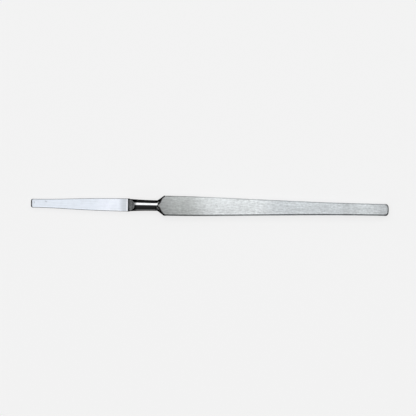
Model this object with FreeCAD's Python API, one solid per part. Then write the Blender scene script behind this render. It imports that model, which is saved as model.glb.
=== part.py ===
"""Podiatry chisel, forged and ground from one bar of stainless steel.

The instrument lies along X with its cutting edge toward -X, and rests on the flat back of
its handle, which is the plane z = 0. The origin is under the middle of its length. All sizes
are in millimetres and all angles in degrees.

It is made in the order of the real work. A flat bar is profiled and its edges are rounded,
the neck and the shoulder are turned, a grinding wheel runs out into the neck above and
below the blade, and the blade is ground to a wedge with a cutting bevel at its end.
"""

import FreeCAD, Part
import math
import os

# Lengths along the instrument
blade_length = 38.0           # cutting edge to the foot of the ramps
neck_length = 11.55           # foot of the ramps to the corner of the shoulder
handle_length = 90.45         # corner of the shoulder to the far end

# Handle
handle_width = 7.85           # at the shoulder, where it is widest
handle_end_width = 4.7        # at the far end
handle_thickness = 4.6        # the same all along, so that the handle lies flat
handle_wide_share = 0.12      # first bend of its sides, as a share of the taper's length
handle_narrow_share = 0.22    # second bend, counted from the far end
handle_edge_radius = 0.65     # rounding of the long edges and of the far end
end_corner_radius = 1.4       # corners of the far end, seen from above
end_crown_plan = 0.35         # bulge of the far end, seen from above
end_crown_side = 0.45         # bulge of the far end, seen from the side

# Neck and shoulder
neck_blade_diameter = 4.9     # where the neck meets the blade
neck_handle_diameter = 4.15   # where the neck meets the shoulder
shoulder_angle = 37.0         # half angle of the shoulder's cone
shoulder_fillet = 1.0         # hollow between neck and shoulder

# Ramps between blade and neck
ramp_wheel_radius = 3.7       # radius of the wheel that ground them
ramp_foot_angle = 3.0         # slope at which a ramp leaves the blade's face

# Blade
blade_root_width = 5.08
blade_tip_width = 3.38
blade_tip_share = 0.15        # first bend of its sides, as a share of the blade's length
blade_root_share = 0.32       # second bend, counted from the root
blade_root_thickness = 2.0
blade_tip_thickness = 0.5
blade_edge_radius = 0.2       # rounding of the long edges
blade_tenon = 1.8             # how far the blade's corners fade into the neck
tip_corner_radius = 0.7       # corners of the cutting end, seen from above
bevel_length = 0.5            # cutting bevel, on the upper face only
cutting_land = 0.06           # thickness left at the cutting edge

cut_margin = 1.0              # how far a cutting shape reaches past the metal
flatness = 0.001              # an edge with less height than this lies in a flat face

# Places and sizes worked out from them
overall_length = blade_length + neck_length + handle_length
tip_x = -overall_length / 2
root_x = tip_x + blade_length
shoulder_x = root_x + neck_length
end_x = shoulder_x + handle_length
axis_z = handle_thickness / 2
neck_radius = neck_handle_diameter / 2
shoulder_slope = math.tan(math.radians(shoulder_angle))
stock_radius = math.hypot(handle_width / 2, axis_z)
taper_x = shoulder_x + (stock_radius - neck_radius) / shoulder_slope
blade_slope = (blade_root_thickness - blade_tip_thickness) / 2 / blade_length


def at(x, y, z):
    """Return the point x, y, z."""
    return FreeCAD.Vector(x, y, z)


def line(start, end):
    """Return the straight edge between two points."""
    return Part.makeLine(start, end)


def arc(start, middle, end):
    """Return the circular edge through three points."""
    return Part.Arc(start, middle, end).toShape()


def bend(start, corner, end):
    """Return the arc from start to end that is tangent to both legs of a corner.

    The legs are equally long. The middle of the arc lies between the corner and the middle
    of the chord, and divides that distance by the cosine of a quarter of the turn, squared.
    """
    turn = (corner - start).getAngle(end - corner)
    chord_middle = (start + end) * 0.5
    share = 1 / (2 * math.cos(turn / 4) ** 2)
    return arc(start, corner + (chord_middle - corner) * share, end)


def face_of(edges):
    """Return the flat face inside a closed run of edges, given in any order."""
    return Part.Face(Part.Wire(Part.sortEdges(edges)[0]))


def polygon_face(points):
    """Return the flat face with these corners."""
    return Part.Face(Part.makePolygon(points + points[:1]))


def side_path(start, end, start_share, end_share):
    """Return the edges of one long side of an outline, between two points in plan.

    It is parallel to X at both ends and straight in between. Its two bends lie at a share
    of the length from either end, and each is rounded by an arc that reaches as far.
    """
    first_reach = start_share * (end.x - start.x)
    second_reach = end_share * (end.x - start.x)
    first = start + at(first_reach, 0, 0)
    second = end - at(second_reach, 0, 0)
    along = (second - first).normalize()
    first_end = first + along * first_reach
    second_start = second - along * second_reach
    return [
        bend(start, first, first_end),
        line(first_end, second_start),
        bend(second_start, second, end),
    ]


def outline_prism(front_x, start, end, back_x, shares, height):
    """Return an upright prism whose outline is the same on both sides of the X axis.

    Each side runs straight from front_x to start, then as a side path to end, and straight
    again to back_x. Start and end are points in plan on the side of +Y.
    """
    front = at(front_x, start.y, 0)
    back = at(back_x, end.y, 0)
    side = [line(front, start)] + side_path(start, end, *shares)
    if back_x > end.x:
        side.append(line(end, back))
    other_side = [edge.mirror(at(0, 0, 0), at(0, 1, 0)) for edge in side]
    front_edge = line(front, at(front.x, -front.y, 0))
    back_edge = line(back, at(back.x, -back.y, 0))
    outline = face_of(side + other_side + [front_edge, back_edge])
    return outline.extrude(at(0, 0, height))


def crowned_end():
    """Return the solid inside the far end's bulged surface.

    That surface is an arc, bulging as the end does seen from the side, turned about an
    upright axis that stands inside the handle where the plan's bulge has its centre.
    """
    half_width = handle_end_width / 2
    plan_radius = (half_width ** 2 + end_crown_plan ** 2) / (2 * end_crown_plan)
    side_radius = (axis_z ** 2 + end_crown_side ** 2) / (2 * end_crown_side)
    turn_x = end_x - plan_radius
    top = handle_thickness + cut_margin
    rim_x = end_x - side_radius + math.sqrt(side_radius ** 2 - (axis_z + cut_margin) ** 2)
    profile = face_of([
        line(at(turn_x, 0, -cut_margin), at(rim_x, 0, -cut_margin)),
        arc(at(rim_x, 0, -cut_margin), at(end_x, 0, axis_z), at(rim_x, 0, top)),
        line(at(rim_x, 0, top), at(turn_x, 0, top)),
        line(at(turn_x, 0, top), at(turn_x, 0, -cut_margin)),
    ])
    profile.rotate(at(turn_x, 0, 0), at(0, 0, 1), -90)
    return profile.revolve(at(turn_x, 0, 0), at(0, 0, 1), 180)


def handle_bar():
    """Return the flat bar with its profiled sides, crowned end and rounded edges.

    It also reaches forward past the neck, which is turned out of it. Its sides are parallel
    there and along the shoulder, and the taper starts where the cone has left its corners.
    """
    start = at(taper_x, handle_width / 2, 0)
    end = at(end_x, handle_end_width / 2, 0)
    shares = (handle_wide_share, handle_narrow_share)
    bar = outline_prism(root_x - cut_margin, start, end, end_x, shares, handle_thickness)

    crown = crowned_end()
    box = crown.BoundBox
    end_block = Part.makeBox(
        box.XLength + cut_margin, box.YLength, box.ZLength, at(box.XMin, box.YMin, box.ZMin)
    )
    bar = bar.cut(end_block.cut(crown))

    corners = []
    for edge in bar.Edges:
        box = edge.BoundBox
        if box.XMin > end_x - handle_end_width and box.ZLength > axis_z:
            corners.append(edge)
    bar = bar.makeFillet(end_corner_radius, corners)

    rims = []
    for edge in bar.Edges:
        box = edge.BoundBox
        if box.XMax > root_x and box.ZLength < flatness:
            rims.append(edge)
    return bar.makeFillet(handle_edge_radius, rims)


def below_axis(x, radius):
    """Return the point that lies this far below the instrument's axis."""
    return at(x, 0, axis_z - radius)


def turned_about_axis(profile):
    """Return the solid that a face below the instrument's axis sweeps in one turn about it."""
    return profile.revolve(at(0, 0, axis_z), at(1, 0, 0), 360)


def turned_form():
    """Return what the lathe leaves: neck, fillet, shoulder cone and all that lies behind.

    The neck's profile is one long hollow arc that ends parallel to the axis at the fillet.
    """
    outer_radius = stock_radius + cut_margin
    angle = math.radians(shoulder_angle)
    tangent = shoulder_fillet * math.tan(angle / 2)
    fillet_x = shoulder_x - tangent
    run = fillet_x - root_x
    rise = neck_blade_diameter / 2 - neck_radius
    hollow_tangent = (run ** 2 + rise ** 2) / (2 * run)

    front = below_axis(root_x, neck_blade_diameter / 2)
    hollow_corner = below_axis(fillet_x - hollow_tangent, neck_radius)
    fillet_start = below_axis(fillet_x, neck_radius)
    shoulder_corner = below_axis(shoulder_x, neck_radius)
    fillet_end = below_axis(
        shoulder_x + tangent * math.cos(angle),
        neck_radius + tangent * math.sin(angle),
    )
    cone_end = below_axis(
        shoulder_x + (outer_radius - neck_radius) / shoulder_slope,
        outer_radius,
    )
    back = below_axis(end_x + cut_margin, outer_radius)
    back_centre = below_axis(end_x + cut_margin, 0)
    front_centre = below_axis(root_x, 0)
    return turned_about_axis(face_of([
        line(front_centre, front),
        bend(front, hollow_corner, fillet_start),
        bend(fillet_start, shoulder_corner, fillet_end),
        line(fillet_end, cone_end),
        line(cone_end, back),
        line(back, back_centre),
        line(back_centre, front_centre),
    ]))


def ramp_cut(side):
    """Return what the wheel takes off the neck, above (side 1) or below (side -1) the blade.

    A ramp leaves the blade's face at the foot angle, curves away as an arc of the wheel's
    radius until it is upright, and goes on straight out of the metal.
    """
    foot_angle = math.radians(ramp_foot_angle)
    foot_height = blade_root_thickness / 2

    def wheel(angle):
        """Return the point of the wheel's arc where its slope is this angle."""
        run = ramp_wheel_radius * (math.sin(angle) - math.sin(foot_angle))
        rise = ramp_wheel_radius * (math.cos(foot_angle) - math.cos(angle))
        return at(root_x + run, -stock_radius, axis_z + side * (foot_height + rise))

    foot = wheel(foot_angle)
    middle = wheel((foot_angle + math.pi / 2) / 2)
    upright = wheel(math.pi / 2)
    outer_z = upright.z + side * stock_radius
    profile = face_of([
        arc(foot, middle, upright),
        line(upright, at(upright.x, upright.y, outer_z)),
        line(at(upright.x, upright.y, outer_z), at(foot.x, foot.y, outer_z)),
        line(at(foot.x, foot.y, outer_z), foot),
    ])
    return profile.extrude(at(0, 2 * stock_radius, 0))


def handle_and_neck():
    """Return the bar after turning and after both ramps are ground."""
    turned = handle_bar().common(turned_form())
    return turned.cut(ramp_cut(1)).cut(ramp_cut(-1))


def blade_half():
    """Return the upper half of the blade, with a tenon of its own section behind the root.

    It is a flat plate with rounded long edges, tilted by half of the wedge's angle and cut
    off at the level of the instrument's axis. Its sides start parallel, so that the corner
    of the cutting end can be tangent to them.
    """
    front_x = tip_x - cut_margin
    start = at(tip_x + 2 * tip_corner_radius, blade_tip_width / 2, 0)
    end = at(root_x, blade_root_width / 2, 0)
    shares = (blade_tip_share, blade_root_share)
    depth = blade_root_thickness
    plate = outline_prism(front_x, start, end, root_x + blade_tenon, shares, depth)

    rims = []
    for edge in plate.Edges:
        box = edge.BoundBox
        if box.ZMin > depth - flatness and box.YLength < blade_tip_width:
            rims.append(edge)
    plate = plate.makeFillet(blade_edge_radius, rims)

    upper_z = axis_z + blade_tip_thickness / 2
    plate.translate(at(0, 0, upper_z - depth))
    plate.rotate(at(tip_x, 0, upper_z), at(0, 1, 0), -math.degrees(math.atan(blade_slope)))
    above_axis = Part.makeBox(
        plate.BoundBox.XLength,
        plate.BoundBox.YLength,
        plate.BoundBox.ZMax - axis_z,
        at(plate.BoundBox.XMin, plate.BoundBox.YMin, axis_z),
    )
    return plate.common(above_axis)


def tip_trim():
    """Return an upright prism with the cutting end's rounded corners, open to the sides."""
    half_tip = blade_tip_width / 2
    half_land = half_tip - tip_corner_radius
    corner_x = tip_x + tip_corner_radius
    back_x = root_x + 2 * blade_tenon
    outer_y = blade_root_width
    edges = [
        line(at(tip_x, -half_land, 0), at(tip_x, half_land, 0)),
        line(at(back_x, -outer_y, 0), at(back_x, outer_y, 0)),
    ]
    for side in (1, -1):
        land_end = at(tip_x, side * half_land, 0)
        corner = at(tip_x, side * half_tip, 0)
        side_start = at(corner_x, side * half_tip, 0)
        outer_start = at(corner_x, side * outer_y, 0)
        edges.append(bend(land_end, corner, side_start))
        edges.append(line(side_start, outer_start))
        edges.append(line(outer_start, at(back_x, side * outer_y, 0)))
    return face_of(edges).extrude(at(0, 0, handle_thickness))


def tenon_trim():
    """Return the round form that keeps the blade whole and fades its tenon's corners."""
    corner_radius = math.hypot(blade_root_width, blade_root_thickness) / 2
    front_x = tip_x - cut_margin
    back_x = root_x + blade_tenon
    return turned_about_axis(polygon_face([
        below_axis(front_x, 0),
        below_axis(front_x, corner_radius),
        below_axis(root_x, corner_radius),
        below_axis(back_x, neck_radius),
        below_axis(back_x, 0),
    ]))


def bevel_cut():
    """Return what the cutting bevel takes off: all above a slope down to the cutting edge."""
    heel_z = axis_z + blade_tip_thickness / 2 + blade_slope * bevel_length
    edge_z = axis_z - blade_tip_thickness / 2 + cutting_land
    overshoot = (heel_z - edge_z) / bevel_length * cut_margin
    low_x = tip_x - cut_margin
    high_x = tip_x + bevel_length + cut_margin
    side_y = -blade_root_width
    profile = polygon_face([
        at(low_x, side_y, edge_z - overshoot),
        at(high_x, side_y, heel_z + overshoot),
        at(low_x, side_y, heel_z + overshoot),
    ])
    return profile.extrude(at(0, 2 * blade_root_width, 0))


def blade():
    """Return the ground blade with its tenon."""
    upper = blade_half()
    lower = upper.mirror(at(0, 0, axis_z), at(0, 0, 1))
    metal = upper.fuse(lower).removeSplitter()
    metal = metal.common(tip_trim())
    metal = metal.common(tenon_trim())
    return metal.cut(bevel_cut())


def chisel():
    """Return the whole instrument as one solid."""
    return handle_and_neck().fuse(blade()).removeSplitter()


os.makedirs("parts", exist_ok=True)
instrument = chisel()
instrument.exportStep("parts/chisel.step")
print("solids", len(instrument.Solids), "valid", instrument.isValid())
print("volume in cubic millimetres", round(instrument.Volume, 1))
print("length", round(overall_length, 2))
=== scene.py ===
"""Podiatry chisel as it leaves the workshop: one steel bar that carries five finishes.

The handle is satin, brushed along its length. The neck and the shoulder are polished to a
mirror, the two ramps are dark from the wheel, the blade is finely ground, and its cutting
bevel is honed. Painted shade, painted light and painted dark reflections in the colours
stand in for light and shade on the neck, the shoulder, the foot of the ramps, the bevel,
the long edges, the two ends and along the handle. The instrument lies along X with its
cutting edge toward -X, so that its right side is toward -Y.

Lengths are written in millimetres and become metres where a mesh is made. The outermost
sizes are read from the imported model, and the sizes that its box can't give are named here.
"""

import math

import bmesh
import bpy
import numpy as np
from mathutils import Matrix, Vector


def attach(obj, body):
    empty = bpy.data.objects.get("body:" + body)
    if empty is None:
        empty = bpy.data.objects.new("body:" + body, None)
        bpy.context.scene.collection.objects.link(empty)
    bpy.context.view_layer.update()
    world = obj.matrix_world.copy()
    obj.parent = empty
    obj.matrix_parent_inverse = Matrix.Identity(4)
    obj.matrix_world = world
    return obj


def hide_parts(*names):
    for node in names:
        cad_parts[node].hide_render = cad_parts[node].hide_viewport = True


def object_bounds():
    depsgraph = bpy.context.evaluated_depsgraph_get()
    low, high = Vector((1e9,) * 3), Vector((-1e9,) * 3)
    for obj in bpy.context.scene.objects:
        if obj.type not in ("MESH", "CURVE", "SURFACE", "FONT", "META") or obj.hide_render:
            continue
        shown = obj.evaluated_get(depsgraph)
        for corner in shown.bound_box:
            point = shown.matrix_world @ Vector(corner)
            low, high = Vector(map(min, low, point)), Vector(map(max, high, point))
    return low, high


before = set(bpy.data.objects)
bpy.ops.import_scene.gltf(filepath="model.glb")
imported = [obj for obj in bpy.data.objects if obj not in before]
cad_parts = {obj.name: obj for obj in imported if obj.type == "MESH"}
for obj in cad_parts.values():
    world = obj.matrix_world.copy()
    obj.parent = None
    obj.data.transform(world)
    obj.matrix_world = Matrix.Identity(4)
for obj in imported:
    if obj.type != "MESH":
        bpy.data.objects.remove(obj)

NODE = "chisel"
BODY = "root"
PIECE = "chisel_steel"
MM = 0.001
TINY = 1e-9
MERGE_DISTANCE = 0.001 * MM
SHARP_ANGLE = math.radians(27)

cad_low, cad_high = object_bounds()

# From the frame
TIP_X, END_X = cad_low.x / MM, cad_high.x / MM
HALF_WIDTH = (cad_high.y - cad_low.y) / 2 / MM
HALF_THICKNESS = (cad_high.z - cad_low.z) / 2 / MM
AXIS_Z = (cad_high.z + cad_low.z) / 2 / MM

# Blade
BLADE_LENGTH = 38.0
BLADE_TIP_HALF_WIDTH = 1.69
BLADE_ROOT_HALF_WIDTH = 2.54
BLADE_TIP_SHARE = 0.15
BLADE_ROOT_SHARE = 0.32
BLADE_TIP_HALF_THICKNESS = 0.25
BLADE_ROOT_HALF_THICKNESS = 1.0
BLADE_EDGE_RADIUS = 0.2
TIP_CORNER_RADIUS = 0.7
BEVEL_LENGTH = 0.5
CUTTING_LAND = 0.06

# Ramps, neck and shoulder. The tenon is the blade's end inside the foot of the ramps, and
# its sides stand out of the neck over the length shown
TENON_LENGTH = 1.8
TENON_SHOWN = 0.95
RAMP_RADIUS = 3.7
RAMP_FOOT_ANGLE = math.radians(3)
NECK_LENGTH = 11.55
NECK_BLADE_RADIUS = 2.45
NECK_HANDLE_RADIUS = 2.075
SHOULDER_ANGLE = math.radians(37)
SHOULDER_FILLET = 1.0

# Handle
HANDLE_END_HALF_WIDTH = 2.35
HANDLE_WIDE_SHARE = 0.12
HANDLE_NARROW_SHARE = 0.22
HANDLE_EDGE_RADIUS = 0.65
END_CORNER_RADIUS = 1.4
END_CROWN_PLAN = 0.35
END_CROWN_SIDE = 0.45

# Places and slopes worked out from them
ROOT_X = TIP_X + BLADE_LENGTH
SHOULDER_X = ROOT_X + NECK_LENGTH
SHOULDER_SLOPE = math.tan(SHOULDER_ANGLE)
STOCK_RADIUS = math.hypot(HALF_WIDTH, HALF_THICKNESS)
TAPER_X = SHOULDER_X + (STOCK_RADIUS - NECK_HANDLE_RADIUS) / SHOULDER_SLOPE
FILLET_START_X = SHOULDER_X - SHOULDER_FILLET * math.tan(SHOULDER_ANGLE / 2)
FILLET_END_X = FILLET_START_X + SHOULDER_FILLET * math.sin(SHOULDER_ANGLE)
BLADE_SLOPE = (BLADE_ROOT_HALF_THICKNESS - BLADE_TIP_HALF_THICKNESS) / BLADE_LENGTH
FLAT_ANGLE = math.atan2(HALF_THICKNESS, HALF_WIDTH - HANDLE_EDGE_RADIUS)

# Parts of the mesh along its columns and rows, and the angle between the blade's corner and
# the first column on its flat
SIDE_PARTS, CORNER_PARTS, NEAR_FLAT_PARTS, FLAT_PARTS = 3, 4, 8, 16
BEVEL_PARTS, TIP_PARTS, BLADE_PARTS = 9, 3, 47
RAMP_PARTS, NECK_PARTS, FILLET_PARTS, CONE_PARTS = 19, 24, 7, 8
HANDLE_PARTS, END_CORNER_PARTS = 63, 5
BESIDE_CORNER = 0.006

# Handle's rows near the shoulder: how far each still follows the shoulder's edge, and how
# far apart they lie. Near the far end they bend to its crown over a length
FOLLOW_SHOULDER = (1, 0.75, 0.5, 0.27, 0.1)
NEAR_ROW_STEP = 0.55
CROWN_BEND_LENGTH = 2.5

# Finishes, in the order of the mesh's material slots, and the values that the mesh carries.
# The edge value is 1 where the surface turns by the edge turn or more
BLADE, BEVEL, RAMP, NECK, HANDLE = range(5)
INSET = "inset"
EDGE = "edge"
EDGE_TURN = math.radians(12)

# Near-black colour that paints a dark reflection on the polish, and the polish's tint at a
# glancing angle
PAINTED_DARK_REFLECTION = (0.03, 0.03, 0.03)
GLANCING_TINT = (0.1, 0.1, 0.1)

# Camera: straight above, turned so that the instrument slopes down to the right
FRAME_WIDTH = 162.76
LENS = 100.0
SENSOR = 36.0
ROLL = math.radians(1.11)
AIM = (-0.693, -0.566)

# Studio: the floor's sizes in metres, and each lamp's tilt toward +Y, distance and sizes in
# metres, and radiance
WHITE = (1, 1, 1)
FLOOR_HALF = 4.0
FLOOR_DROP = 0.00002
FLOOR_COLOUR = (0.2, 0.2, 0.2)
FLOOR_GLOW = 0.735
ROOM_DARK = 0.02
CORNER_LIGHT = 0.9
SOFTBOX = (math.radians(15), 1.0, 2.0, 1.4, 1.24)
FLOOR_LIGHT = (math.radians(8), 1.4, 1.6, 1.6, 2.2)


def parted(start, end, parts):
    """Values that divide the way from start to end into equal parts."""
    return np.linspace(start, end, parts + 1)


def quarter_columns():
    """Where the lengthwise lines of the mesh lie on a quarter of a section.

    Returns three shares for each line, from the side of the section up to its middle: how
    far up the straight side it lies, how far round the corner, and how far out on the flat.
    The lines on the flat are spaced by their direction from the axis at the blade's root.
    The first lies close beside the corner, so that the flat is shaded flat up to there, and
    one of them has the direction in which the handle's flat begins.
    """
    up_side = parted(0, 1, SIDE_PARTS)
    round_corner = parted(0, 1, CORNER_PARTS)[1:]
    flat_half = BLADE_ROOT_HALF_WIDTH - BLADE_EDGE_RADIUS
    first = math.atan2(BLADE_ROOT_HALF_THICKNESS, flat_half)
    near_corner = np.r_[first + BESIDE_CORNER, parted(first, FLAT_ANGLE, NEAR_FLAT_PARTS)[1:]]
    over_flat = parted(FLAT_ANGLE, math.pi / 2, FLAT_PARTS)[1:]
    out_on_flat = BLADE_ROOT_HALF_THICKNESS / np.tan(np.r_[near_corner, over_flat]) / flat_half
    side = np.r_[up_side, np.ones(len(round_corner) + len(out_on_flat))]
    corner = np.r_[np.zeros(len(up_side)), round_corner, np.ones(len(out_on_flat))]
    flat = np.r_[np.ones(len(up_side) + len(round_corner)), out_on_flat]
    return side, corner, flat


def full_ring(quarter, left=1, below=1):
    """A whole ring of values from those of the upper right quarter.

    The values run up to the top, back down the left side, on to the bottom and up again.
    Those on the left are multiplied by left and those below by below.
    """
    upper_left = left * quarter[..., -2::-1]
    lower_left = left * below * quarter[..., 1:]
    lower_right = below * quarter[..., -2:0:-1]
    return np.concatenate([quarter, upper_left, lower_left, lower_right], axis=-1)


def section(columns, half_width, half_height, radius):
    """Points of a rounded rectangle: the corner's centre, moved in along the straight parts
    by the columns' shares, plus the radius turned by their share of a quarter turn."""
    side, corner, flat = columns
    angle = corner * math.pi / 2
    across = (half_width - radius) * flat + radius * np.cos(angle)
    up = (half_height - radius) * side + radius * np.sin(angle)
    return across, up


def rounded_box_reach(across, up, half_width, half_height, radius):
    """Distance from the middle of a rounded rectangle to its edge in a direction.

    It is the nearer of the side line and the top line, or, where that point lies past the
    start of both roundings, the far crossing with the circle about the corner's centre.
    """
    across, up = np.abs(across), np.abs(up)
    to_side = half_width / np.maximum(across, TINY)
    to_top = half_height / np.maximum(up, TINY)
    straight = np.minimum(to_side, to_top)
    centre_y, centre_z = half_width - radius, half_height - radius
    in_corner = (straight * across > centre_y) & (straight * up > centre_z)
    toward = centre_y * across + centre_z * up
    inside = toward ** 2 - centre_y ** 2 - centre_z ** 2 + radius ** 2
    return np.where(in_corner, toward + np.sqrt(np.maximum(inside, 0)), straight)


def side_line(x, start, end, start_share, end_share):
    """Half width along a side that is parallel to X at both ends and straight in between.

    The slope rises evenly over twice the first share of the length, stays, and falls evenly
    over twice the second share, so each bend is an arc about its corner.
    """
    length = end[0] - start[0]
    first, second = start_share * length, end_share * length
    slope = (end[1] - start[1]) / (length - first - second)
    run = np.clip(x - start[0], 0, length)
    left = np.clip(length - run, 0, length)
    rising = np.minimum(run, 2 * first) ** 2 / (4 * first) + np.maximum(run - 2 * first, 0)
    lost = np.maximum(2 * second - left, 0) ** 2 / (4 * second)
    return start[1] + slope * (rising - lost)


def blade_half_width(x):
    """Half width of the blade, a side line from behind the tip's corners to the root."""
    start = (TIP_X + 2 * TIP_CORNER_RADIUS, BLADE_TIP_HALF_WIDTH)
    end = (ROOT_X, BLADE_ROOT_HALF_WIDTH)
    return side_line(x, start, end, BLADE_TIP_SHARE, BLADE_ROOT_SHARE)


def blade_half_thickness(x):
    """Half thickness of the blade, which is a straight wedge."""
    return BLADE_TIP_HALF_THICKNESS + BLADE_SLOPE * (x - TIP_X)


def handle_half_width(x):
    """Half width of the handle, a side line from the shoulder to the far end."""
    start, end = (TAPER_X, HALF_WIDTH), (END_X, HANDLE_END_HALF_WIDTH)
    return side_line(x, start, end, HANDLE_WIDE_SHARE, HANDLE_NARROW_SHARE)


def turned_radius(x):
    """Radius that the lathe left: a parabola down to the fillet, the fillet, the cone."""
    run = FILLET_START_X - ROOT_X
    rise = NECK_BLADE_RADIUS - NECK_HANDLE_RADIUS
    hollow = NECK_HANDLE_RADIUS + rise * (np.maximum(FILLET_START_X - x, 0) / run) ** 2
    past = np.clip(x - FILLET_START_X, 0, SHOULDER_FILLET * math.sin(SHOULDER_ANGLE))
    fillet = SHOULDER_FILLET - np.sqrt(SHOULDER_FILLET ** 2 - past ** 2)
    cone = np.maximum(x - FILLET_END_X, 0) * SHOULDER_SLOPE
    return hollow + fillet + cone


def ramp_height(x):
    """Height of a ramp above the axis: the arc of a wheel that leaves the blade's face."""
    turn = np.clip((x - ROOT_X) / RAMP_RADIUS + math.sin(RAMP_FOOT_ANGLE), 0, 1)
    rise = math.cos(RAMP_FOOT_ANGLE) - np.cos(np.arcsin(turn))
    return BLADE_ROOT_HALF_THICKNESS + RAMP_RADIUS * rise


def tenon_reach(x, across, up):
    """Distance from the axis to the blade's tenon, faded by the cone about its corners."""
    blade = rounded_box_reach(
        across, up, BLADE_ROOT_HALF_WIDTH, blade_half_thickness(x), BLADE_EDGE_RADIUS
    )
    widest = math.hypot(BLADE_ROOT_HALF_WIDTH, BLADE_ROOT_HALF_THICKNESS)
    faded = widest - (widest - NECK_HANDLE_RADIUS) * (x - ROOT_X) / TENON_LENGTH
    return np.minimum(blade, faded)


def neck_reach(x, across, up):
    """Distance from the axis to the metal behind the root, in the direction (across, up).

    The neck is what the lathe left, cut down to the ramps, joined with the tenon: the
    lesser of the first two distances, and the greater of that and the third.
    """
    to_ramp = ramp_height(x) / np.maximum(np.abs(up), TINY)
    ground = np.minimum(turned_radius(x), to_ramp)
    return np.maximum(ground, tenon_reach(x, across, up))


def blend(start, end, parts):
    """Rows that divide the way from start to end into equal parts."""
    return start + (end - start) * parted(0, 1, parts)[:, None]


def blade_patch(columns):
    """The blade from its cutting edge to its root, as rings of its rounded section.

    Each ring is trimmed to the rounded corners of the tip, seen from above, and lowered to
    the plane of the bevel where it stands above that. The bevel's heel is a row of its own,
    within the corners.
    """
    heel_turn = math.acos(1 - BEVEL_LENGTH / TIP_CORNER_RADIUS)
    past_heel = parted(heel_turn, math.pi / 2, TIP_PARTS)[1:]
    turn = np.r_[parted(0, heel_turn, BEVEL_PARTS), past_heel]
    corner_rows = TIP_X + TIP_CORNER_RADIUS * (1 - np.cos(turn))
    heel_x, corner_x = TIP_X + BEVEL_LENGTH, TIP_X + TIP_CORNER_RADIUS
    rows = np.r_[corner_rows, parted(corner_x, ROOT_X, BLADE_PARTS)[1:]][:, None]
    half_thickness = blade_half_thickness(rows)
    across, up = section(columns, blade_half_width(rows), half_thickness, BLADE_EDGE_RADIUS)
    y, z = full_ring(across, left=-1), full_ring(up, below=-1)

    short = np.maximum(corner_x - rows, 0)
    rounded = TIP_CORNER_RADIUS - np.sqrt(np.maximum(TIP_CORNER_RADIUS ** 2 - short ** 2, 0))
    trimmed = BLADE_TIP_HALF_WIDTH - rounded
    y = np.where(rows < corner_x, np.clip(y, -trimmed, trimmed), y)

    heel_z = blade_half_thickness(heel_x)
    edge_z = CUTTING_LAND - BLADE_TIP_HALF_THICKNESS
    plane = edge_z + (heel_z - edge_z) * (rows - TIP_X) / BEVEL_LENGTH
    z = np.where(rows < heel_x, np.minimum(z, plane), z)

    x = np.broadcast_to(rows, y.shape)
    finish = np.full((len(rows) - 1, y.shape[1]), BLADE)
    honed = (rows[1:] <= heel_x + TINY) & (z[1:] >= plane[1:] - TINY)
    finish[honed] = BEVEL
    return np.stack([x, y, z], axis=-1), finish, True


def tip_patch(blade):
    """The narrow land at the cutting edge, between the two halves of the first ring."""
    ring = blade[0]
    count = len(ring) // 2
    upper = ring[: count + 1]
    lower = np.roll(ring, -1, axis=0)[::-1][: count + 1]
    return np.stack([upper, lower]), BEVEL, False


def shoulder_edge(across, up):
    """Where the shoulder's cone runs out on the bar: the X at which its radius equals the
    distance from the axis to the bar's section."""
    reach = rounded_box_reach(across, up, HALF_WIDTH, HALF_THICKNESS, HANDLE_EDGE_RADIUS)
    return SHOULDER_X + (reach - NECK_HANDLE_RADIUS) / SHOULDER_SLOPE


def neck_patch(across, up):
    """Ramps, neck and shoulder, as rows of points at the neck's reach from the axis.

    The rows follow the edge of the ramps, then straighten toward the fillet, and end on the
    curved edge where the cone meets the handle.
    """
    # Where each column leaves the ramp, looked up among runs over most of the wheel's arc
    arc_share = 0.9
    lookup_parts = 599
    run = parted(0, arc_share * RAMP_RADIUS, lookup_parts)
    rise = ramp_height(ROOT_X + run) / turned_radius(ROOT_X + run)
    ramp_end = ROOT_X + np.maximum(np.interp(np.abs(up), rise, run), TENON_SHOWN)
    turn = parted(0, SHOULDER_ANGLE, FILLET_PARTS)[1:, None]
    rows = np.concatenate([
        blend(ROOT_X, ramp_end, RAMP_PARTS),
        blend(ramp_end, FILLET_START_X, NECK_PARTS)[1:],
        FILLET_START_X + SHOULDER_FILLET * np.sin(turn) + 0 * across,
        blend(FILLET_END_X, shoulder_edge(across, up), CONE_PARTS)[1:],
    ])
    reach = neck_reach(rows, across, up)
    points = np.stack([rows, reach * across, reach * up], axis=-1)

    next_rows, next_up = np.roll(rows, -1, axis=1), np.roll(up, -1)
    middle_x = (rows[:-1] + rows[1:] + next_rows[:-1] + next_rows[1:]) / 4
    middle_up = np.abs(up + next_up) / 2
    on_ramp = turned_radius(middle_x) * middle_up > ramp_height(middle_x)
    return points, np.where(on_ramp, RAMP, NECK), True


def end_outline(corner_parts, crown_parts):
    """Outline of the far end in plan, from its right side round to its left.

    Returns points, outward normals and the share of the end's own profile at each. The
    crown is one arc about a point on the axis, and each corner is an arc inside it.
    """
    crown_radius = (HANDLE_END_HALF_WIDTH ** 2 + END_CROWN_PLAN ** 2) / (2 * END_CROWN_PLAN)
    centre_y = HANDLE_END_HALF_WIDTH - END_CORNER_RADIUS
    lean = math.asin(centre_y / (crown_radius - END_CORNER_RADIUS))
    crown_x = END_X - crown_radius
    centre_x = crown_x + (crown_radius - END_CORNER_RADIUS) * math.cos(lean)
    corner = parted(math.pi / 2, lean, corner_parts)
    crown = parted(lean, -lean, crown_parts)[1:-1]
    angle = np.r_[corner, crown, -corner[::-1]]
    normal = np.stack([np.cos(angle), np.sin(angle)], axis=-1)
    in_corner = (np.abs(angle) >= lean - TINY)[:, None]
    centre = np.stack([0 * angle + centre_x, np.sign(angle) * centre_y], axis=-1)
    on_corner = centre + END_CORNER_RADIUS * normal
    on_crown = np.array([crown_x, 0]) + crown_radius * normal
    share = np.clip(np.cos(angle) / math.cos(lean), 0, 1) ** 2
    return np.where(in_corner, on_corner, on_crown), normal, share


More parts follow.
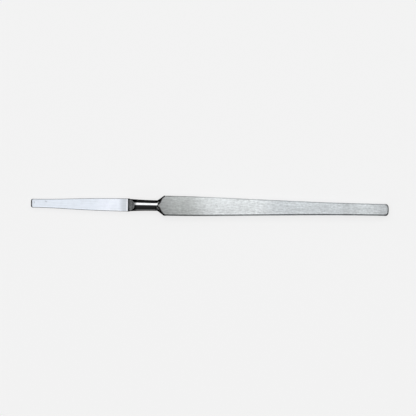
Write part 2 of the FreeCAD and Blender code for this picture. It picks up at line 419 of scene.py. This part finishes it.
def edge_profiles(across, up):
    """Profiles of the handle's edge, from its middle up to where the flat begins.

    Returns how far in and how high each point lies, first for the long sides, which are
    straight and then rounded, and then for the far end, which bulges as an arc and is
    rounded by a ball that rolls inside that arc.
    """
    reach = rounded_box_reach(across, up, HALF_WIDTH, HALF_THICKNESS, HANDLE_EDGE_RADIUS)
    side_in, side_up = HALF_WIDTH - reach * across, reach * up
    straight = HALF_THICKNESS - HANDLE_EDGE_RADIUS
    up_straight = np.clip(side_up / straight, 0, 1)
    turn = np.arcsin(np.clip((side_up - straight) / HANDLE_EDGE_RADIUS, 0, 1))

    bulge = (HALF_THICKNESS ** 2 + END_CROWN_SIDE ** 2) / (2 * END_CROWN_SIDE)
    inner = bulge - HANDLE_EDGE_RADIUS
    lean = math.asin(straight / inner)
    ball_in = bulge - inner * math.cos(lean)
    bulge_up = up_straight * bulge * math.sin(lean)
    bulge_in = bulge - np.sqrt(bulge ** 2 - bulge_up ** 2)
    ball_turn = lean + turn * (math.pi / 2 - lean) / (math.pi / 2)
    rolled = side_up > straight
    end_in = np.where(rolled, ball_in - HANDLE_EDGE_RADIUS * np.cos(ball_turn), bulge_in)
    end_up = np.where(rolled, straight + HANDLE_EDGE_RADIUS * np.sin(ball_turn), bulge_up)
    return (side_in, side_up), (end_in, end_up)


def handle_patches(across, up, flat_from):
    """The handle's edge band and its upper and lower flat.

    The band carries the edge profile along the outline, from the shoulder round the far end
    and back. The flats join its two long sides by rows that bend to the shoulder's edge at
    one end and to the crowned outline at the other.
    """
    band_across, band_up = across[: flat_from + 1], up[: flat_from + 1]
    band_across = np.r_[band_across[:0:-1], band_across]
    band_up = np.r_[-band_up[:0:-1], band_up]
    (side_in, side_up), (end_in, end_up) = edge_profiles(band_across, np.abs(band_up))
    below = np.sign(band_up)
    side_up, end_up = side_up * below, end_up * below

    flat_across = np.r_[across[flat_from:], -across[-2:flat_from - 1:-1]]
    flat_up = np.r_[up[flat_from:], up[-2:flat_from - 1:-1]]
    crown_parts = len(flat_across) - 1 - 2 * END_CORNER_PARTS
    outline, normal, share = end_outline(2 * END_CORNER_PARTS, crown_parts)

    # Rows along the sides, and how much each still follows the shoulder's edge
    edge_x = shoulder_edge(band_across, band_up)
    first_x = edge_x.max()
    near = first_x + NEAR_ROW_STEP * np.arange(len(FOLLOW_SHOULDER))
    far = parted(near[-1] + NEAR_ROW_STEP, outline[0, 0], HANDLE_PARTS)
    rows = np.r_[near, far]
    follow = np.r_[FOLLOW_SHOULDER, np.zeros(len(far))]
    x = rows[:, None] + follow[:, None] * (edge_x - first_x)
    y = handle_half_width(x) - side_in
    side = np.stack([x, y, side_up + 0 * x], axis=-1)
    inset = side_in + (end_in - side_in) * share[:, None]
    height = side_up + (end_up - side_up) * share[:, None]
    round_end = outline[:, None, :] - inset[..., None] * normal[:, None, :]
    round_end = np.concatenate([round_end, height[..., None]], axis=-1)
    other_side = side[::-1] * np.array([1, -1, 1])
    band = np.concatenate([side[:-1], round_end, other_side[1:]])

    # The flats reach from the band's upper edge on one side to that on the other
    count = len(rows) + END_CORNER_PARTS
    right = band[:count, -1]
    far_edge = band[count - 1 : len(band) - count + 1, -1]
    edge_x = shoulder_edge(flat_across, flat_up)
    follow = np.r_[follow, np.zeros(END_CORNER_PARTS)][:, None]
    bend = np.clip((right[:, :1] - right[-1, 0]) / CROWN_BEND_LENGTH + 1, 0, 1) ** 2
    near_share = flat_across / flat_up
    near_share = near_share / near_share[0]
    far_share = far_edge[:, 1] / far_edge[0, 1]
    x = right[:, :1] + follow * (edge_x - edge_x[0]) + bend * (far_edge[:, 0] - right[-1, 0])
    y = right[:, 1:2] * blend(near_share, far_share, count - 1)
    flat_z = HALF_THICKNESS + 0 * x
    upper = np.stack([x, y, flat_z], axis=-1)
    lower = np.stack([x, y, -flat_z], axis=-1)
    return [(band, HANDLE, False), (upper, HANDLE, False), (lower, HANDLE, False)]


def quads_of(rows, columns, around):
    """Corner numbers of the faces of a grid, closed round to its first column if asked."""
    number = np.arange(rows * columns).reshape(rows, columns)
    if around:
        number = np.concatenate([number, number[:, :1]], axis=1)
    corners = [number[:-1, :-1], number[1:, :-1], number[1:, 1:], number[:-1, 1:]]
    return np.stack(corners, axis=-1).reshape(-1, 4)


def joined_mesh(name, patches):
    """One closed mesh from patches that share their border points.

    Each patch is a grid of points about the axis, the finish of its faces, and whether it
    closes round on itself. Points that meet are merged and the normals made to face out.
    """
    points, quads, finishes = [], [], []
    start = 0
    for grid, finish, around in patches:
        rows, columns = grid.shape[:2]
        faces = quads_of(rows, columns, around)
        points.append(grid.reshape(-1, 3))
        quads.append(faces + start)
        finishes.append(np.broadcast_to(np.ravel(finish), len(faces)))
        start += rows * columns
    points = (np.concatenate(points) + np.array([0, 0, AXIS_Z])) * MM
    mesh = bpy.data.meshes.new(name)
    mesh.from_pydata(points.tolist(), [], np.concatenate(quads).tolist())
    mesh.polygons.foreach_set("material_index", np.concatenate(finishes).astype(np.int32))

    work = bmesh.new()
    work.from_mesh(mesh)
    bmesh.ops.remove_doubles(work, verts=work.verts, dist=MERGE_DISTANCE)
    bmesh.ops.dissolve_degenerate(work, edges=work.edges, dist=MERGE_DISTANCE)
    bmesh.ops.recalc_face_normals(work, faces=work.faces)
    work.to_mesh(mesh)
    work.free()
    mesh.polygons.foreach_set("use_smooth", np.ones(len(mesh.polygons), bool))
    mesh.set_sharp_from_angle(angle=SHARP_ANGLE)
    mesh.update()
    return mesh


def chisel_mesh():
    """The whole instrument's surface, from patches that meet along its real edges."""
    columns = quarter_columns()
    root = section(columns, BLADE_ROOT_HALF_WIDTH, BLADE_ROOT_HALF_THICKNESS, BLADE_EDGE_RADIUS)
    angle = np.arctan2(root[1], root[0])
    across, up = np.cos(angle), np.sin(angle)
    flat_from = int(np.argmin(np.abs(angle - FLAT_ANGLE)))
    blade = blade_patch(columns)
    neck = neck_patch(full_ring(across, left=-1), full_ring(up, below=-1))
    patches = [blade, tip_patch(blade[0]), neck] + handle_patches(across, up, flat_from)
    return joined_mesh(PIECE, patches)


def connect(tree, source, socket):
    """Feed a socket from another socket, or set it to a plain number, vector or colour."""
    if isinstance(source, bpy.types.NodeSocket):
        tree.links.new(source, socket)
    elif socket.type == "RGBA":
        socket.default_value = (*source, 1)
    else:
        socket.default_value = source


def math_node(tree, operation, *terms):
    """A Math node with its terms in order."""
    node = tree.nodes.new("ShaderNodeMath")
    node.operation = operation
    for term, socket in zip(terms, node.inputs):
        connect(tree, term, socket)
    return node.outputs["Value"]


def vector_node(tree, operation, *terms, output="Vector"):
    """A Vector Math node with its terms in order."""
    node = tree.nodes.new("ShaderNodeVectorMath")
    node.operation = operation
    for term, socket in zip(terms, node.inputs):
        connect(tree, term, socket)
    return node.outputs[output]


def turned_node(tree, place, turn):
    """A place turned about Z."""
    node = tree.nodes.new("ShaderNodeVectorRotate")
    node.rotation_type = "Z_AXIS"
    connect(tree, place, node.inputs["Vector"])
    connect(tree, turn, node.inputs["Angle"])
    return node.outputs["Vector"]


def noise_node(tree, place, scale, detail):
    """Fractal noise at a place."""
    node = tree.nodes.new("ShaderNodeTexNoise")
    connect(tree, place, node.inputs["Vector"])
    connect(tree, scale, node.inputs["Scale"])
    connect(tree, detail, node.inputs["Detail"])
    return node.outputs["Fac"]


def smooth_step(tree, value, low, high):
    """A value taken smoothly from 0 at low to 1 at high."""
    node = tree.nodes.new("ShaderNodeMapRange")
    node.interpolation_type = "SMOOTHSTEP"
    connect(tree, value, node.inputs["Value"])
    connect(tree, low, node.inputs["From Min"])
    connect(tree, high, node.inputs["From Max"])
    return node.outputs["Result"]


def shader_group(name, inputs, output):
    """An empty shader group. Inputs are named vectors, or numbers with a first value."""
    tree = bpy.data.node_groups.new(name, "ShaderNodeTree")
    for label, first in inputs:
        kind = "NodeSocketVector" if first is None else "NodeSocketFloat"
        socket = tree.interface.new_socket(name=label, in_out="INPUT", socket_type=kind)
        if first is not None:
            socket.default_value = first
    tree.interface.new_socket(name=output, in_out="OUTPUT", socket_type="NodeSocketFloat")
    given = tree.nodes.new("NodeGroupInput").outputs
    result = tree.nodes.new("NodeGroupOutput").inputs[output]
    return tree, given, result


def brushing_group():
    """Brush lines: noise stretched along the stroke, its contrast spread to 0 to 1.

    The place is turned about Z by the stroke's angle and divided by the lines' length,
    width and depth before the noise is read, so its cells become long thin lines.
    """
    inputs = [("Place", None), ("Turn", 0.0), ("Length", 8.0), ("Width", 0.4), ("Depth", 0.2)]
    tree, given, result = shader_group("brush_lines", inputs, "Line")
    turned = turned_node(tree, given["Place"], given["Turn"])
    size = tree.nodes.new("ShaderNodeCombineXYZ")
    for axis, label in zip("XYZ", ("Length", "Width", "Depth")):
        connect(tree, given[label], size.inputs[axis])
    cell = vector_node(tree, "DIVIDE", turned, size.outputs["Vector"])
    line = noise_node(tree, cell, scale=1.0, detail=3.0)
    connect(tree, smooth_step(tree, line, low=0.28, high=0.72), result)
    return tree


def smudge_group():
    """Soft patches: noise in cells of a given size, kept only above what Cover leaves bare."""
    inputs = [("Place", None), ("Size", 3.0), ("Cover", 0.5)]
    tree, given, result = shader_group("soft_patches", inputs, "Patch")
    seldom_passed = 0.85
    softness = 0.3
    scale = math_node(tree, "DIVIDE", 1.0, given["Size"])
    cloud = noise_node(tree, given["Place"], scale, detail=2.0)
    bare = math_node(tree, "SUBTRACT", seldom_passed, given["Cover"])
    full = math_node(tree, "ADD", bare, softness)
    connect(tree, smooth_step(tree, cloud, bare, full), result)
    return tree


def edge_shade_group():
    """Mask for painted shade on the edges: the mesh's own edge value, broken up by short noise.
    """
    inputs = [("Place", None), ("Edge", 0.0), ("Breakup", 0.3)]
    tree, given, result = shader_group("edge_shade_mask", inputs, "Mask")
    breakup_noise = noise_node(tree, given["Place"], scale=0.6, detail=3.0)
    lost = math_node(tree, "MULTIPLY", breakup_noise, given["Breakup"])
    kept = math_node(tree, "SUBTRACT", 1.0, lost)
    connect(tree, math_node(tree, "MULTIPLY", given["Edge"], kept), result)
    return tree


class Finish:
    """A steel finish under way: its material, its shader and the places its effects read."""

    def __init__(self, name):
        self.material = bpy.data.materials.new(name)
        self.material.use_nodes = True
        self.tree = self.material.node_tree
        self.shader = self.tree.nodes["Principled BSDF"]
        self.shader.inputs["Metallic"].default_value = 1
        coordinates = self.tree.nodes.new("ShaderNodeTexCoord")
        self.place = self.scaled(coordinates.outputs["Object"], 1 / MM)
        split = self.tree.nodes.new("ShaderNodeSeparateXYZ")
        connect(self.tree, self.place, split.inputs["Vector"])
        self.along, self.across = split.outputs["X"], split.outputs["Y"]

    def effect(self, group, **values):
        """Place a shared group with this finish's own values and give its one output."""
        node = self.tree.nodes.new("ShaderNodeGroup")
        node.node_tree = group
        connect(self.tree, self.place, node.inputs["Place"])
        for label, value in values.items():
            connect(self.tree, value, node.inputs[label.capitalize()])
        return node.outputs[0]

    def mesh_value(self, name):
        """A value that the mesh carries at each of its points."""
        node = self.tree.nodes.new("ShaderNodeAttribute")
        node.attribute_name = name
        return node.outputs["Fac"]

    def math(self, operation, *terms):
        """A Math node in this finish."""
        return math_node(self.tree, operation, *terms)

    def step(self, value, low, high):
        """A value taken smoothly from 0 at low to 1 at high."""
        return smooth_step(self.tree, value, low, high)

    def between(self, share, low, high):
        """The number that lies this share of the way from low to high."""
        node = self.tree.nodes.new("ShaderNodeMapRange")
        connect(self.tree, share, node.inputs["Value"])
        connect(self.tree, low, node.inputs["To Min"])
        connect(self.tree, high, node.inputs["To Max"])
        return node.outputs["Result"]

    def near_outline(self, full, none):
        """1 up to full millimetres inside the outline seen from above, and 0 past none."""
        return self.step(self.mesh_value(INSET), none, full)

    def tones(self, *stops):
        """Colour along the instrument: (X, colour) stops joined by smooth steps."""
        ramp = self.tree.nodes.new("ShaderNodeValToRGB")
        ramp.color_ramp.interpolation = "EASE"
        length = END_X - TIP_X
        run = self.math("SUBTRACT", self.along, TIP_X)
        connect(self.tree, self.math("DIVIDE", run, length), ramp.inputs["Fac"])
        elements = ramp.color_ramp.elements
        elements.remove(elements[1])
        for number, (x, colour) in enumerate(stops):
            share = (x - TIP_X) / length
            stop = elements[0] if number == 0 else elements.new(share)
            stop.position = share
            stop.color = (*colour, 1)
        return ramp.outputs["Color"]

    def mixed(self, share, first, second):
        """First colour where share is 0, second where it is 1."""
        node = self.tree.nodes.new("ShaderNodeMix")
        node.data_type = "RGBA"
        connect(self.tree, share, node.inputs["Factor"])
        connect(self.tree, first, node.inputs["A"])
        connect(self.tree, second, node.inputs["B"])
        return node.outputs["Result"]

    def tinted(self, colour, mask, tint, strength=1.0):
        """A colour taken toward a plain tint by a mask times its strength."""
        return self.mixed(self.math("MULTIPLY", mask, strength), colour, tint)

    def scaled(self, colour, factor):
        """A colour or a place multiplied by a number."""
        result = vector_node(self.tree, "SCALE", colour)
        connect(self.tree, factor, result.node.inputs["Scale"])
        return result

    def shaded(self, colour, mask, level):
        """A colour multiplied by a level where the mask is 1, and as it was where it is 0."""
        return self.scaled(colour, self.between(mask, 1.0, level))

    def painted_edge_shade(self, colour, radius, line, line_width, right, left):
        """A colour with painted shade along the long edges. Line, right and left are factors on
        it.

        Right and left are the painted shade on the roundings toward -Y and +Y, where the mesh
        turns most. Line is for a lighter line on the flat beside the right rounding, whose
        radius is given.
        """
        turned = self.effect(EDGE_SHADE, edge=self.mesh_value(EDGE), breakup=0.12)
        on_right = self.step(self.across, 0, -1)
        # The edge values at which a rounding starts and is full, on the left and the right
        starts = self.between(on_right, 0.1, 0.3)
        full = self.between(on_right, 0.4, 0.5)
        lighter_line = self.near_outline(radius + line_width / 2, radius + line_width)
        lighter_line = self.math("MULTIPLY", lighter_line, on_right)
        on_flat = self.between(lighter_line, 1.0, line)
        on_rounding = self.between(on_right, left, right)
        level = self.between(self.step(turned, starts, full), on_flat, on_rounding)
        return self.scaled(colour, level)

    def painted_end_shade(self, colour, start_x, full_x, full, none, level):
        """A colour darkened to a level by painted shade along the outline round one end of the
        bar.

        The rim grows from start_x to full_x, and fades from full to none millimetres inside
        the outline.
        """
        at_end = self.step(self.along, start_x, full_x)
        rim = self.math("MULTIPLY", self.near_outline(full, none), at_end)
        return self.shaded(colour, rim, level)

    def mark(self, x, y, length, width, turn):
        """A soft oval mark at a place: 1 in its core and 0 outside its rim.

        Both are distances from the place, turned and divided by the mark's length and width.
        """
        core = 0.1
        rim = 0.55
        moved = vector_node(self.tree, "SUBTRACT", self.place, (x, y, 0))
        moved = vector_node(self.tree, "MULTIPLY", moved, (1, 1, 0))
        turned = turned_node(self.tree, moved, -turn)
        shape = vector_node(self.tree, "DIVIDE", turned, (length, width, 1))
        away = vector_node(self.tree, "LENGTH", shape, output="Value")
        return self.step(away, rim, core)

    def grooves(self, height, depth):
        """Surface normal with grooves of a given depth."""
        bump = self.tree.nodes.new("ShaderNodeBump")
        bump.inputs["Distance"].default_value = depth * MM
        connect(self.tree, height, bump.inputs["Height"])
        connect(self.tree, bump.outputs["Normal"], self.shader.inputs["Normal"])

    def set(self, colour, roughness):
        """Give the shader its colour and its roughness."""
        connect(self.tree, colour, self.shader.inputs["Base Color"])
        connect(self.tree, roughness, self.shader.inputs["Roughness"])
        return self.material


def ground_blade():
    """Fine lengthwise grinding, bright and cool, with a band of painted shade before the ramp's
    foot and a painted highlight line at the root.

    Two small marks lie near the tip, and a narrow rim of painted shade runs round it.
    """
    finish = Finish("ground_blade")
    cool, clear, painted_shade_tone = (0.80, 0.85, 0.92), (0.88, 0.92, 1.0), (0.64, 0.675, 0.72)
    painted_highlight_line = (0.84, 0.86, 0.90)
    grease, bruise = (0.45, 0.48, 0.52), (0.42, 0.45, 0.5)
    # Tone along the blade: brighter toward the root, then painted shade before the ramp's foot
    # and a painted highlight line at the root
    tone = finish.tones(
        (TIP_X, cool),
        (ROOT_X - 15, cool),
        (ROOT_X - 7.5, clear),
        (ROOT_X - 3.8, clear),
        (ROOT_X - 1.5, painted_shade_tone),
        (ROOT_X - 0.6, painted_shade_tone),
        (ROOT_X - 0.3, painted_highlight_line),
    )
    wide = finish.effect(BRUSHING, turn=0.02, length=9.0, width=0.5)
    fine = finish.effect(BRUSHING, turn=0.01, length=3.0, width=0.07)
    smudge = finish.effect(SMUDGES, size=2.2, cover=0.42)
    colour = finish.scaled(tone, finish.between(wide, 0.95, 1.05))
    colour = finish.tinted(colour, smudge, grease, strength=0.12)
    nick = finish.mark(TIP_X + 1.3, 0.45, length=0.6, width=1.5, turn=math.radians(12))
    stain = finish.mark(TIP_X + 5.9, 0.8, length=1.6, width=0.6, turn=math.radians(-20))
    colour = finish.tinted(colour, finish.math("MAXIMUM", nick, stain), bruise, strength=0.6)
    # Painted shade on the long roundings, the right one darker, and a lighter line beside it
    colour = finish.painted_edge_shade(
        colour, BLADE_EDGE_RADIUS, line=1.07, line_width=0.5, right=0.25, left=0.4
    )
    # Painted shade round the tip
    colour = finish.painted_end_shade(colour, TIP_X + 1.2, TIP_X + 0.5, full=0.2, none=0.45, level=0.3)
    finish.grooves(fine, depth=0.004)
    return finish.set(colour, finish.between(wide, 0.44, 0.50))


def honed_bevel():
    """Cutting bevel: honed square to the edge, near-black as a painted dark reflection."""
    finish = Finish("honed_bevel")
    stroke = finish.effect(BRUSHING, turn=0.0, length=1.2, width=0.08)
    # Near-black colours that paint a dark reflection on the bevel
    groove, ridge = (0.07, 0.075, 0.08), (0.12, 0.125, 0.13)
    finish.grooves(stroke, depth=0.002)
    return finish.set(finish.mixed(stroke, groove, ridge), finish.between(stroke, 0.3, 0.42))


def wheel_ground_ramp():
    """Ramp as the wheel left it: dark, brushed square to the bar, with painted shade at its
    foot.
    """
    finish = Finish("wheel_ground_ramp")
    painted_crease_shade, grey = (0.02, 0.022, 0.025), (0.17, 0.175, 0.175)
    pale, steep = (0.39, 0.40, 0.40), (0.5, 0.51, 0.51)
    # Tone up the ramp: painted shade in the crease at its foot, then grey that grows lighter
    # toward the neck
    tone = finish.tones(
        (ROOT_X, painted_crease_shade),
        (ROOT_X + 0.5, painted_crease_shade),
        (ROOT_X + 0.9, grey),
        (ROOT_X + 1.6, pale),
        (ROOT_X + 2.2, steep),
    )
    stroke = finish.effect(BRUSHING, turn=math.radians(90), length=2.5, width=0.16)
    patch = finish.effect(SMUDGES, size=0.9, cover=0.5)
    level = finish.between(stroke, 0.75, 1.1)
    level = finish.math("ADD", level, finish.between(patch, -0.1, 0.25))
    finish.grooves(stroke, depth=0.006)
    return finish.set(finish.scaled(tone, level), 0.42)


def painted_shade_beside_streak(finish):
    """Where painted shade darkens the neck's polish beside its streak of light.

    It is a band on the right of the streak, from the neck's right half to just past its
    axis, or, in the hollow of the fillet, all that lies off the streak on both sides.
    """
    streak_y = 0.62
    fillet_share = 0.75
    from_right = finish.step(finish.across, -0.6, -0.4)
    from_left = finish.step(finish.across, 0.22, 0.05)
    band = finish.math("MULTIPLY", from_right, from_left)
    off_streak = finish.math("ABSOLUTE", finish.math("SUBTRACT", finish.across, streak_y))
    off_streak = finish.step(off_streak, 0.4, 0.65)
    at_fillet = finish.step(finish.along, SHOULDER_X - 1.1, SHOULDER_X - 0.5)
    hollow = finish.math("MULTIPLY", at_fillet, off_streak)
    hollow = finish.math("MULTIPLY", hollow, fillet_share)
    return finish.math("MAXIMUM", band, hollow)


def polished_neck():
    """Mirror polish, with the faintest haze where the mop reached least.

    Painted shade darkens it at the ramps, and a painted black reflection lies where the
    shoulder begins. Painted shade darkens its sides too, the left one more than the right,
    and beside its streak of light, so that one streak of light runs along it.
    """
    finish = Finish("polished_neck")
    bright, painted_dark = (0.86, 0.87, 0.88), (0.1, 0.102, 0.105)
    # Tone along the neck: painted shade by the ramps and past the shoulder, and a painted black
    # reflection where the shoulder begins
    tone = finish.tones(
        (ROOT_X, painted_dark),
        (ROOT_X + 2.9, painted_dark),
        (ROOT_X + 3.2, bright),
        (SHOULDER_X + 0.15, bright),
        (SHOULDER_X + 0.4, PAINTED_DARK_REFLECTION),
        (SHOULDER_X + 0.7, PAINTED_DARK_REFLECTION),
        (SHOULDER_X + 1.4, painted_dark),
        (SHOULDER_X + 2.4, bright),
    )
    haze = finish.effect(SMUDGES, size=1.6, cover=0.45)
    fine = finish.effect(BRUSHING, turn=math.radians(90), length=1.5, width=0.1)
    # Painted shade on the neck's sides, the left one darker, and beside its streak of light
    on_left = finish.step(finish.across, -0.5, 0.5)
    side = finish.near_outline(full=0.65, none=1.05)
    colour = finish.shaded(tone, side, level=finish.between(on_left, 0.14, 0.03))
    colour = finish.shaded(colour, painted_shade_beside_streak(finish), level=0.04)
    colour = finish.shaded(colour, haze, level=0.92)
    connect(finish.tree, GLANCING_TINT, finish.shader.inputs["Specular Tint"])
    finish.grooves(fine, depth=0.0004)
    return finish.set(colour, finish.between(haze, 0.05, 0.12))


def painted_dark_crescent(finish):
    """Painted dark reflection from the shoulder on into the handle's flat: 1 there, 0 past it.

    It ends on a curve like a C. The curve's X is its start plus its bend times the square
    root of the distance from the axis, counted from the side of its blunt middle.
    """
    start_x = SHOULDER_X + 0.4
    bend = 0.98
    blunt = 0.3
    softness = 0.1
    sideways = finish.math("SUBTRACT", finish.math("ABSOLUTE", finish.across), blunt)
    sideways = finish.math("SQRT", finish.math("MAXIMUM", sideways, 0))
    curve_x = finish.math("MULTIPLY_ADD", sideways, bend, start_x)
    past_curve = finish.math("SUBTRACT", finish.along, curve_x)
    return finish.step(past_curve, softness, -softness)


def satin_handle():
    """Satin brushing along the handle, with painted shade by the neck and painted light before
    the middle.

    Painted light makes it a little lighter toward +Y, painted shade darkens its long edges,
    the right one most, beside a lighter line, and a rim of painted shade runs round its far
    end. A painted dark reflection runs on into it from the shoulder.
    """
    finish = Finish("satin_handle")
    painted_shade_tone, rising, bright = (0.355, 0.365, 0.365), (0.47, 0.49, 0.485), (0.765, 0.795, 0.805)
    even, dimmer, lighter = (0.64, 0.675, 0.695), (0.58, 0.61, 0.625), (0.66, 0.695, 0.71)
    last = (0.53, 0.555, 0.57)
    # Tone along the handle: painted shade by the neck and painted light before the middle
    tone = finish.tones(
        (SHOULDER_X, painted_shade_tone),
        (SHOULDER_X + 9.5, rising),
        (SHOULDER_X + 24.5, bright),
        (SHOULDER_X + 37.5, bright),
        (SHOULDER_X + 48.5, even),
        (END_X - 19.5, even),
        (END_X - 17.5, dimmer),
        (END_X - 9.0, lighter),
        (END_X - 1.5, last),
    )
    wide = finish.effect(BRUSHING, turn=math.radians(3.5), length=8.0, width=0.5)
    fine = finish.effect(BRUSHING, turn=math.radians(2), length=2.5, width=0.08)
    mottle = finish.effect(SMUDGES, size=0.8, cover=0.5)
    streak = finish.effect(BRUSHING, turn=math.radians(2), length=1.6, width=0.3)
    level = finish.between(wide, 0.86, 1.08)
    level = finish.math("ADD", level, finish.between(mottle, -0.05, 0.08))
    level = finish.math("ADD", level, finish.between(streak, -0.12, 0.12))
    # Painted light: a little lighter toward +Y, by this much per millimetre
    past_neck = finish.step(finish.along, SHOULDER_X + 12.5, SHOULDER_X + 24.5)
    painted_light_per_mm = finish.between(past_neck, 0.04, 0.025)
    level = finish.math("MULTIPLY_ADD", finish.across, painted_light_per_mm, level)
    colour = finish.scaled(tone, level)
    # Painted shade on the long roundings, the right one darker, and a lighter line beside it
    colour = finish.painted_edge_shade(
        colour, HANDLE_EDGE_RADIUS, line=1.12, line_width=0.6, right=0.36, left=0.98
    )
    # Painted dark reflection running on from the shoulder into the flat
    colour = finish.tinted(colour, painted_dark_crescent(finish), PAINTED_DARK_REFLECTION)
    # Painted shade round the far end
    colour = finish.painted_end_shade(colour, END_X - 2.2, END_X - 1.0, full=0.5, none=0.95, level=0.35)
    finish.grooves(fine, depth=0.006)
    return finish.set(colour, finish.between(wide, 0.46, 0.52))


def read(items, name, kind=float, width=3):
    """One property of all of a mesh's items, as an array with a row for each."""
    values = np.empty((len(items), width), kind)
    items.foreach_get(name, values.reshape(-1))
    return values


def edge_at_points(mesh):
    """How sharply the surface turns at each point of an edge, as a share of the edge turn.

    At each corner of each face it is the angle between the face's normal and the point's
    normal, and a point takes its greatest. A face whose middle lies above the point's
    tangent plane belongs to a hollow and doesn't count.
    """
    points, normals = read(mesh.vertices, "co"), read(mesh.vertex_normals, "vector")
    centres, face_normals = read(mesh.polygons, "center"), read(mesh.polygon_normals, "vector")
    corner_point = read(mesh.loops, "vertex_index", int, 1)[:, 0]
    sides = read(mesh.polygons, "loop_total", int, 1)[:, 0]
    corner_face = np.repeat(np.arange(len(sides)), sides)

    normal = normals[corner_point]
    angle = np.arccos(np.clip((normal * face_normals[corner_face]).sum(axis=1), -1, 1))
    below = (normal * (centres[corner_face] - points[corner_point])).sum(axis=1) < 0
    turn = np.clip(angle / EDGE_TURN, 0, 1)
    edge = np.zeros(len(points))
    np.maximum.at(edge, corner_point, np.where(below, turn, 0))
    return edge


def inset_at_points(mesh):
    """How far inside the outline, seen from above, each point lies, in millimetres.

    It is the distance to the nearer long side or to the nearer end, and at the ends' corners
    the distance to their arcs.
    """
    points = read(mesh.vertices, "co") / MM
    x, y = points[:, 0], np.abs(points[:, 1])
    turned = np.minimum(turned_radius(x), handle_half_width(x))
    half_width = np.where(x < ROOT_X, blade_half_width(x), turned)
    corner = np.where(x < 0, TIP_CORNER_RADIUS, END_CORNER_RADIUS)
    past_x = np.maximum(TIP_X - x, x - END_X) + corner
    past_y = y - half_width + corner
    in_corner = np.hypot(np.maximum(past_x, 0), np.maximum(past_y, 0))
    beside = np.minimum(np.maximum(past_x, past_y), 0)
    return corner - in_corner - beside


def carry_values(mesh):
    """Store the inset and edge values on the mesh, where its finishes read them."""
    for name, values in ((INSET, inset_at_points(mesh)), (EDGE, edge_at_points(mesh))):
        layer = mesh.attributes.new(name, "FLOAT", "POINT")
        layer.data.foreach_set("value", values.astype(np.float32))


BRUSHING, SMUDGES, EDGE_SHADE = brushing_group(), smudge_group(), edge_shade_group()

mesh = chisel_mesh()
carry_values(mesh)
for make in (ground_blade, honed_bevel, wheel_ground_ramp, polished_neck, satin_handle):
    mesh.materials.append(make())
chisel = bpy.data.objects.new(PIECE, mesh)
bpy.context.scene.collection.objects.link(chisel)
weighted = chisel.modifiers.new("even_normals", "WEIGHTED_NORMAL")
weighted.keep_sharp = True

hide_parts(NODE)
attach(chisel, BODY)


def camera():
    """The camera, straight above the aim and as far as its lens needs for the frame."""
    data = bpy.data.cameras.new("camera")
    data.lens = LENS
    data.sensor_width = SENSOR
    data.clip_start = 0.01
    data.clip_end = 20
    made = bpy.data.objects.new("camera", data)
    distance = FRAME_WIDTH * LENS / SENSOR
    made.location = (AIM[0] * MM, AIM[1] * MM, (distance + AXIS_Z) * MM)
    made.rotation_euler = (0, 0, ROLL)
    bpy.context.scene.collection.objects.link(made)
    bpy.context.scene.camera = made


def floor():
    """A wide plain floor under the instrument.

    A share of its paleness is its own glow, seen alike by the camera and in the metal, and
    the lamps give the rest, which holds a faint shadow.
    """
    data = bpy.data.meshes.new("floor")
    signs = ((-1, -1), (1, -1), (1, 1), (-1, 1))
    corners = [(x * FLOOR_HALF, y * FLOOR_HALF, -FLOOR_DROP) for x, y in signs]
    data.from_pydata(corners, [], [(0, 1, 2, 3)])
    material = bpy.data.materials.new("floor_paper")
    material.use_nodes = True
    tree = material.node_tree
    shader = tree.nodes["Principled BSDF"]
    connect(tree, FLOOR_COLOUR, shader.inputs["Base Color"])
    connect(tree, 1.0, shader.inputs["Roughness"])
    connect(tree, 0.0, shader.inputs["Specular IOR Level"])
    connect(tree, WHITE, shader.inputs["Emission Color"])
    ray = tree.nodes.new("ShaderNodeLightPath").outputs
    seen = math_node(tree, "MAXIMUM", ray["Is Camera Ray"], ray["Is Glossy Ray"])
    seen = math_node(tree, "MAXIMUM", seen, ray["Is Transmission Ray"])
    glow = math_node(tree, "MULTIPLY", seen, FLOOR_GLOW)
    connect(tree, glow, shader.inputs["Emission Strength"])
    data.materials.append(material)
    made = bpy.data.objects.new("floor", data)
    bpy.context.scene.collection.objects.link(made)


def lamp(name, tilt, distance, size, size_y, radiance, in_polish, on_floor):
    """A rectangular lamp that looks at the instrument, tilted from straight above toward +Y.

    Its power is its radiance times pi times its area.
    """
    data = bpy.data.lights.new(name, "AREA")
    data.shape = "RECTANGLE"
    data.size = size
    data.size_y = size_y
    data.energy = radiance * math.pi * size * size_y
    made = bpy.data.objects.new(name, data)
    made.location = Vector((0, math.sin(tilt), math.cos(tilt))) * distance
    made.rotation_euler = (-made.location).to_track_quat("-Z", "Y").to_euler()
    made.visible_glossy = in_polish
    made.visible_diffuse = on_floor
    bpy.context.scene.collection.objects.link(made)


def studio_room():
    """A dark room with soft light in its four corners.

    The light is twice the product of the direction's X and Y, spread from dark to full, so
    it is nothing straight ahead, behind and to the sides, most in the four corners, and
    less toward the ceiling. It also fades out toward the floor.
    """
    world = bpy.data.worlds.new("studio")
    bpy.context.scene.world = world
    world.use_nodes = True
    tree = world.node_tree
    direction = tree.nodes.new("ShaderNodeTexCoord").outputs["Generated"]
    split = tree.nodes.new("ShaderNodeSeparateXYZ")
    connect(tree, direction, split.inputs["Vector"])
    product = math_node(tree, "MULTIPLY", split.outputs["X"], split.outputs["Y"])
    corner = math_node(tree, "MULTIPLY", math_node(tree, "ABSOLUTE", product), 2.0)
    in_corner = smooth_step(tree, corner, low=0.25, high=0.9)
    off_floor = smooth_step(tree, split.outputs["Z"], low=0.15, high=0.45)
    glow = math_node(tree, "MULTIPLY", in_corner, off_floor)
    strength = math_node(tree, "MULTIPLY_ADD", glow, CORNER_LIGHT, ROOM_DARK)
    connect(tree, strength, tree.nodes["Background"].inputs["Strength"])
    connect(tree, WHITE, tree.nodes["Background"].inputs["Color"])


camera()
floor()
lamp("softbox", *SOFTBOX, in_polish=True, on_floor=False)
lamp("floor_light", *FLOOR_LIGHT, in_polish=False, on_floor=True)
studio_room()
bpy.context.scene.view_settings.view_transform = "Standard"
